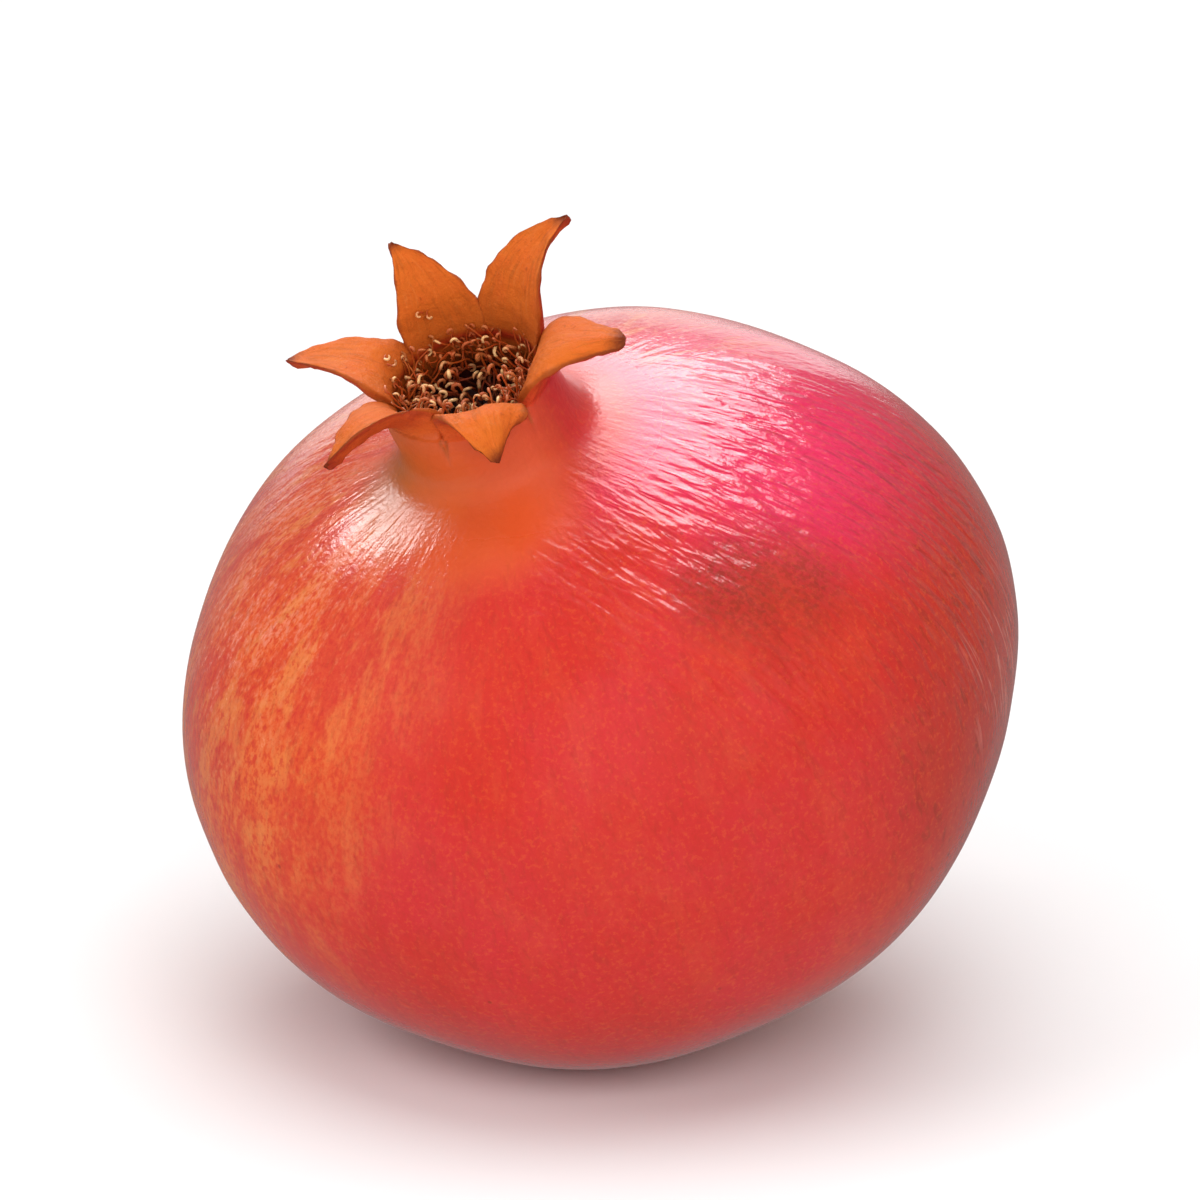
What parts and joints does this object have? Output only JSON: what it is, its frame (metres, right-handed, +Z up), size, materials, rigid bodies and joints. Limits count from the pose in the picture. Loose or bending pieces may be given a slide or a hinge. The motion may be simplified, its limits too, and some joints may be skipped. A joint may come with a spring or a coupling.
{
  "type": "pomegranate",
  "caption": "Whole round pomegranate lying on a small flat spot of its rind, with an open crown of pointed sepals round a cup of dried stamens, and a short stalk stub underneath.",
  "frame": {"origin": "centre of the small flat spot that the fruit lies on", "axes": "+Z up from the resting surface; the fruit's own axis leans 24 degrees from +Z, its crown towards -Y"},
  "size_m": [0.1, 0.0969, 0.1028],
  "materials": {
    "rind": "smooth waxy rind, red to orange-red with paler freckles, satin gloss; leathery orange-brown on the crown",
    "stalk": "dry matt woody stub",
    "stamen": "dry brown filaments with pale anthers"
  },
  "bodies": {
    "root": {"fruit": "rind", "stalk_stub": "stalk", "stamen_01": "stamen", "stamen_02": "stamen", "stamen_03": "stamen", "stamen_04": "stamen", "stamen_05": "stamen", "stamen_06": "stamen", "stamen_07": "stamen", "stamen_08": "stamen", "stamen_09": "stamen", "stamen_10": "stamen", "stamen_11": "stamen", "stamen_12": "stamen", "stamen_13": "stamen", "stamen_14": "stamen", "stamen_15": "stamen", "stamen_16": "stamen", "stamen_17": "stamen", "stamen_18": "stamen", "stamen_19": "stamen", "stamen_20": "stamen", "stamen_21": "stamen", "stamen_22": "stamen", "stamen_23": "stamen", "stamen_24": "stamen", "stamen_25": "stamen", "stamen_26": "stamen", "stamen_27": "stamen", "stamen_28": "stamen", "stamen_29": "stamen", "stamen_30": "stamen", "stamen_31": "stamen", "stamen_32": "stamen", "stamen_33": "stamen", "stamen_34": "stamen", "stamen_35": "stamen", "stamen_36": "stamen", "stamen_37": "stamen", "stamen_38": "stamen", "stamen_39": "stamen", "stamen_40": "stamen", "stamen_41": "stamen", "stamen_42": "stamen"}
  },
  "joints": []
}
